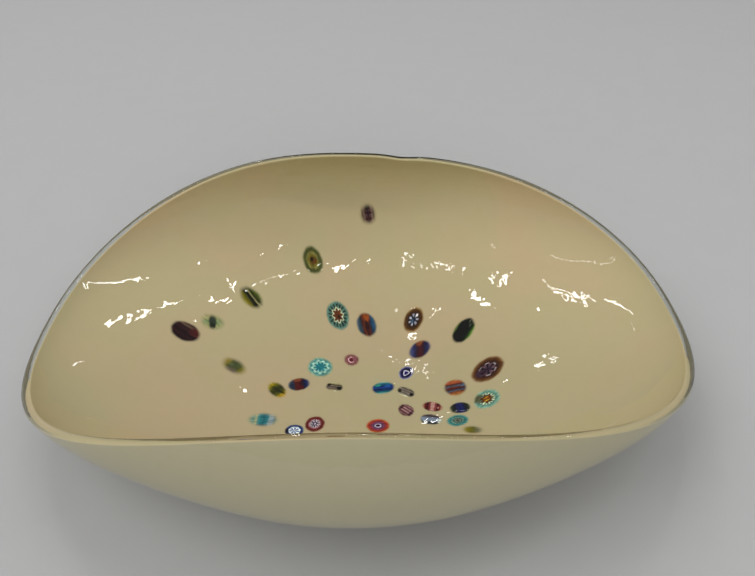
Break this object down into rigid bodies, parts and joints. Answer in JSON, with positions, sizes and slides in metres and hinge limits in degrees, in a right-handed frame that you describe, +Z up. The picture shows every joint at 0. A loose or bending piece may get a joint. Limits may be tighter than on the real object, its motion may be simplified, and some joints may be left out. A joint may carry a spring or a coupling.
{
  "type": "art glass bowl",
  "caption": "Long low bowl of cased ivory glass with two tall sides leaning inward, two low ends, a clear lip and patterned cane slices under clear glass.",
  "frame": {"origin": "middle of the flat ground base, on the surface that the bowl stands on", "axes": "+X along the length of the bowl, -Y to its taller front side, +Z up"},
  "size_m": [0.3496, 0.2592, 0.0931],
  "materials": {
    "clear_glass": "polished",
    "ivory_glass": "opaque, glossy",
    "cane_brown": "fused, glossy",
    "cane_olive": "fused, glossy",
    "cane_teal": "fused, glossy",
    "cane_blue": "fused, glossy",
    "cane_rose": "fused, glossy",
    "cane_orange": "fused, glossy",
    "cane_grey": "fused, glossy",
    "cane_plum": "fused, glossy"
  },
  "bodies": {
    "root": {"outer_casing": "clear_glass", "ivory_core": "ivory_glass", "inner_casing": "clear_glass", "murrina_mauve_stripe": "cane_rose", "murrina_olive_oval": "cane_olive", "murrina_lime_stripe": "cane_olive", "murrina_grey_cross": "cane_grey", "murrina_plum": "cane_plum", "murrina_olive_mist": "cane_olive", "murrina_teal_star": "cane_teal", "murrina_orange_blue": "cane_orange", "murrina_brown_eye": "cane_brown", "murrina_forest_bar": "cane_grey", "murrina_purple_fan": "cane_plum", "murrina_brown_ring": "cane_brown", "murrina_turquoise_star": "cane_teal", "murrina_rose_eye": "cane_rose", "murrina_blue_eye": "cane_blue", "murrina_yellow_olive": "cane_olive", "murrina_red_blue": "cane_plum", "murrina_black_stripe": "cane_brown", "murrina_sea_blue": "cane_blue", "murrina_grey_stripe": "cane_grey", "murrina_orange_stripe": "cane_orange", "murrina_teal_amber": "cane_teal", "murrina_navy_bar": "cane_blue", "murrina_pink_stripe": "cane_rose", "murrina_rose_stripe": "cane_rose", "murrina_pale_blue": "cane_grey", "murrina_teal_white": "cane_teal", "murrina_olive_yellow": "cane_olive", "murrina_cyan_mist": "cane_teal", "murrina_blue_star": "cane_blue", "murrina_red_ring": "cane_rose", "murrina_orange_ring": "cane_orange", "murrina_amber_ring": "cane_orange", "murrina_leaf_stripe": "cane_olive", "murrina_violet_eye": "cane_plum", "murrina_ruby_star": "cane_rose"}
  },
  "joints": []
}
